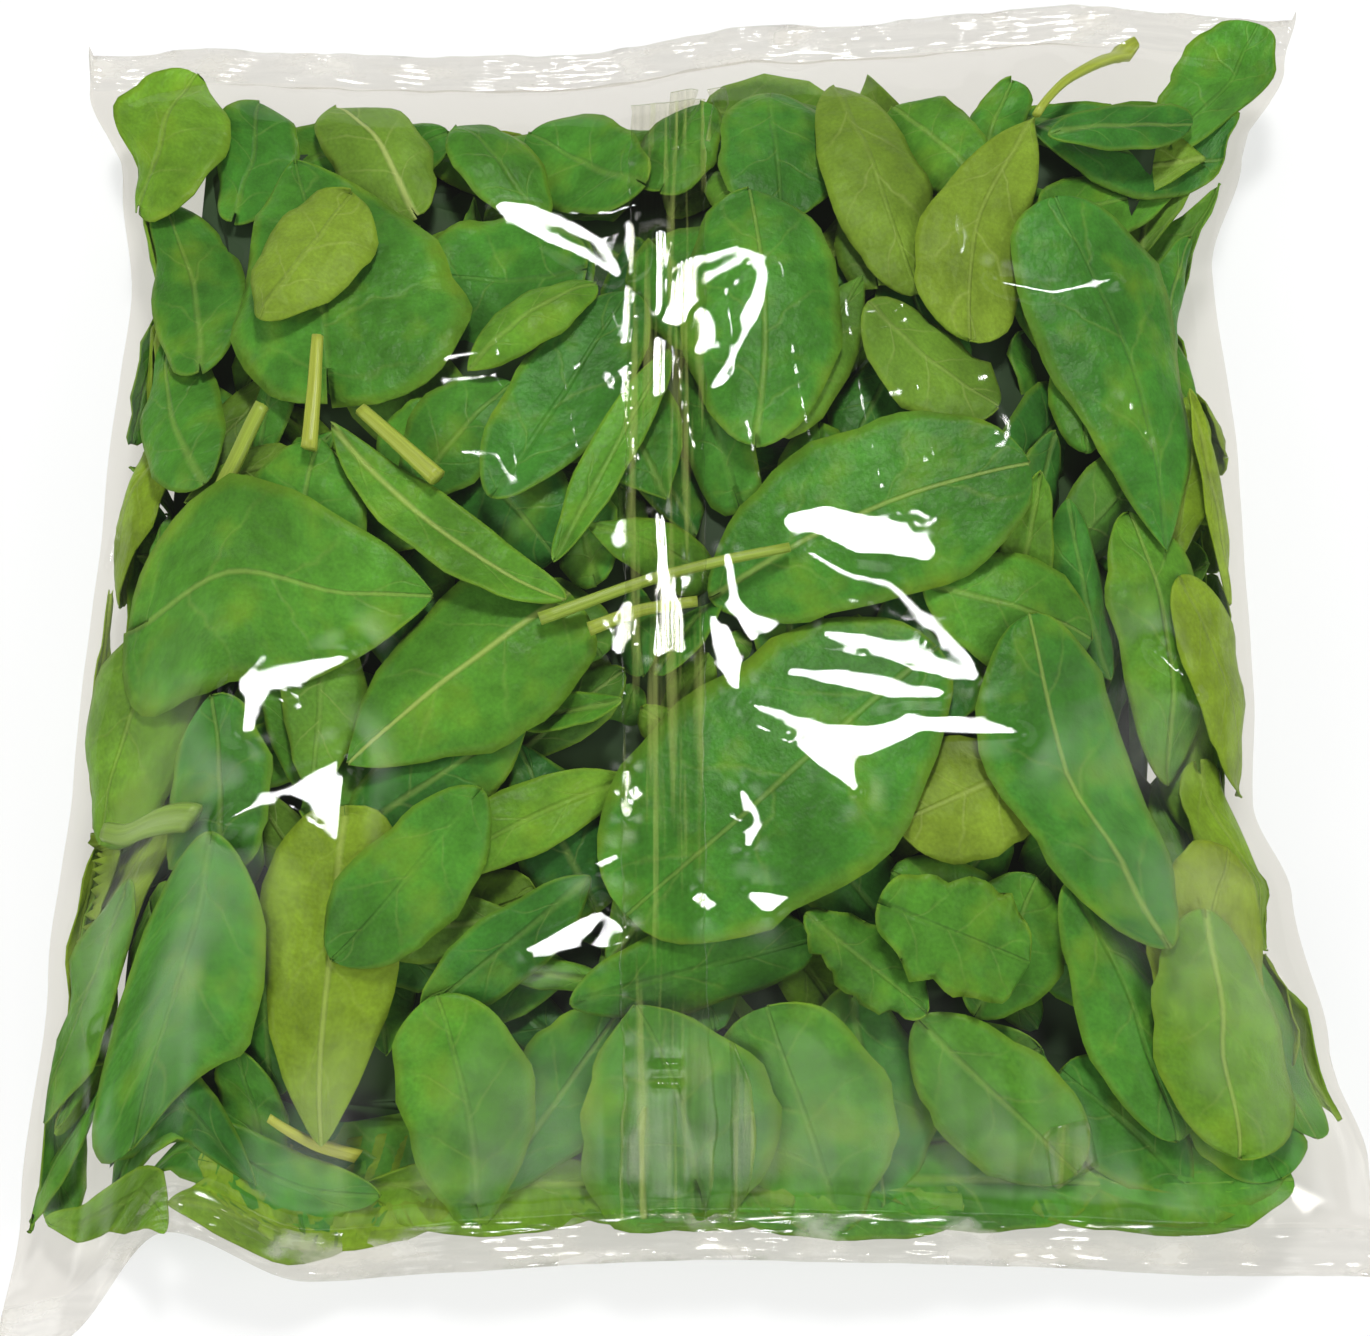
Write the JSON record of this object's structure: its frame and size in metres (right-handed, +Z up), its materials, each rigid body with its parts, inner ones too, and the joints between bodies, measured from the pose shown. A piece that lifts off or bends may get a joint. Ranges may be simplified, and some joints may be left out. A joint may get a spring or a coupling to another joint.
{
  "type": "bag of spinach",
  "caption": "Sealed clear pillow bag packed full of loose baby spinach leaves, with a crimped seal at each end, lying with its back seam up.",
  "frame": {"origin": "the middle of the box round the bag, on its underside", "axes": "+Z up through the bag's thickness, out of the side with the back seam; +Y along the back seam towards the far end seal; +X across the bag"},
  "size_m": [0.282, 0.3014, 0.0618],
  "materials": {
    "clear_film": "thin clear glossy film over green leaves",
    "spinach_leaf": "fresh satin green leaf, paler beneath",
    "leaf_stem": "moist pale green stem"
  },
  "bodies": {
    "root": {"spinach_bag": "clear_film"}
  },
  "joints": []
}
